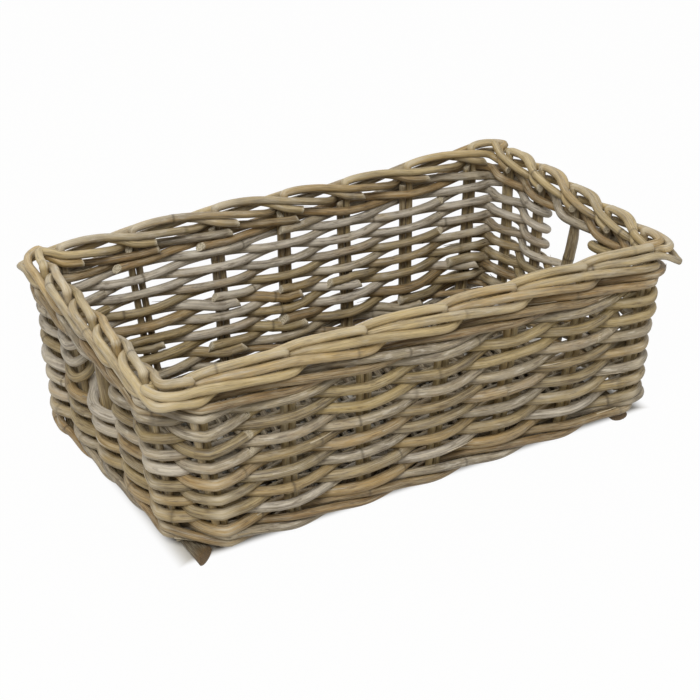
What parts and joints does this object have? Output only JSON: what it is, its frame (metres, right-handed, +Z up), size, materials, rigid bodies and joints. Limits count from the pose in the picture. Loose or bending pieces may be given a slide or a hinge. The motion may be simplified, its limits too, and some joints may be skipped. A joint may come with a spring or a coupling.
{
  "type": "rectangular woven cane basket",
  "caption": "Low open-topped rectangular basket of round cane, with a hand hole in each end wall, a braided rim and a flat woven base on runners.",
  "frame": {"origin": "middle of the footprint, on the surface that the basket stands on", "axes": "+X along the long walls to the right end, +Y from the front wall to the back wall, +Z up"},
  "size_m": [0.5481, 0.3241, 0.1906],
  "materials": {
    "weaver_cane": "unfinished tan and honey cane, matt",
    "grey_weaver_cane": "weathered grey cane, matt",
    "wale_cane": "unfinished brown cane, matt",
    "stake_cane": "unfinished tan cane with scuffed bends, matt",
    "base_cane": "unfinished dark cane, matt"
  },
  "bodies": {
    "root": {"back_stake_1": "stake_cane", "back_stake_2": "stake_cane", "back_stake_3": "stake_cane", "back_stake_4": "stake_cane", "back_stake_5": "stake_cane", "back_stake_6": "stake_cane", "back_stake_7": "stake_cane", "base_filler_1": "base_cane", "base_filler_2": "base_cane", "base_filler_3": "base_cane", "base_filler_4": "base_cane", "base_filler_5": "base_cane", "base_filler_6": "base_cane", "base_stick_1": "base_cane", "base_stick_2": "base_cane", "base_stick_3": "base_cane", "base_stick_4": "base_cane", "base_stick_5": "base_cane", "base_stick_6": "base_cane", "base_stick_7": "base_cane", "front_stake_1": "stake_cane", "front_stake_2": "stake_cane", "front_stake_3": "stake_cane", "front_stake_4": "stake_cane", "front_stake_5": "stake_cane", "front_stake_6": "stake_cane", "front_stake_7": "stake_cane", "left_handle_post": "stake_cane", "left_runner": "base_cane", "left_stake_1": "stake_cane", "left_stake_2": "stake_cane", "left_stake_3": "stake_cane", "left_stake_4": "stake_cane", "lower_wale_rod_1": "wale_cane", "lower_wale_rod_2": "wale_cane", "lower_wale_rod_3": "wale_cane", "right_handle_post": "stake_cane", "right_runner": "base_cane", "right_stake_1": "stake_cane", "right_stake_2": "stake_cane", "right_stake_3": "stake_cane", "right_stake_4": "stake_cane", "row_1_rod_a": "weaver_cane", "row_1_rod_b": "grey_weaver_cane", "row_2_rod_a": "weaver_cane", "row_2_rod_b": "grey_weaver_cane", "row_3_rod_a": "weaver_cane", "row_3_rod_b": "grey_weaver_cane", "row_4_rod_a": "weaver_cane", "row_4_rod_b": "grey_weaver_cane", "row_5_back_rod": "grey_weaver_cane", "row_5_front_rod": "weaver_cane", "row_6_back_rod": "grey_weaver_cane", "row_6_front_rod": "weaver_cane", "row_7_back_rod": "grey_weaver_cane", "row_7_front_rod": "weaver_cane", "upper_wale_rod_1": "wale_cane", "upper_wale_rod_2": "wale_cane", "upper_wale_rod_3": "wale_cane"}
  },
  "joints": []
}
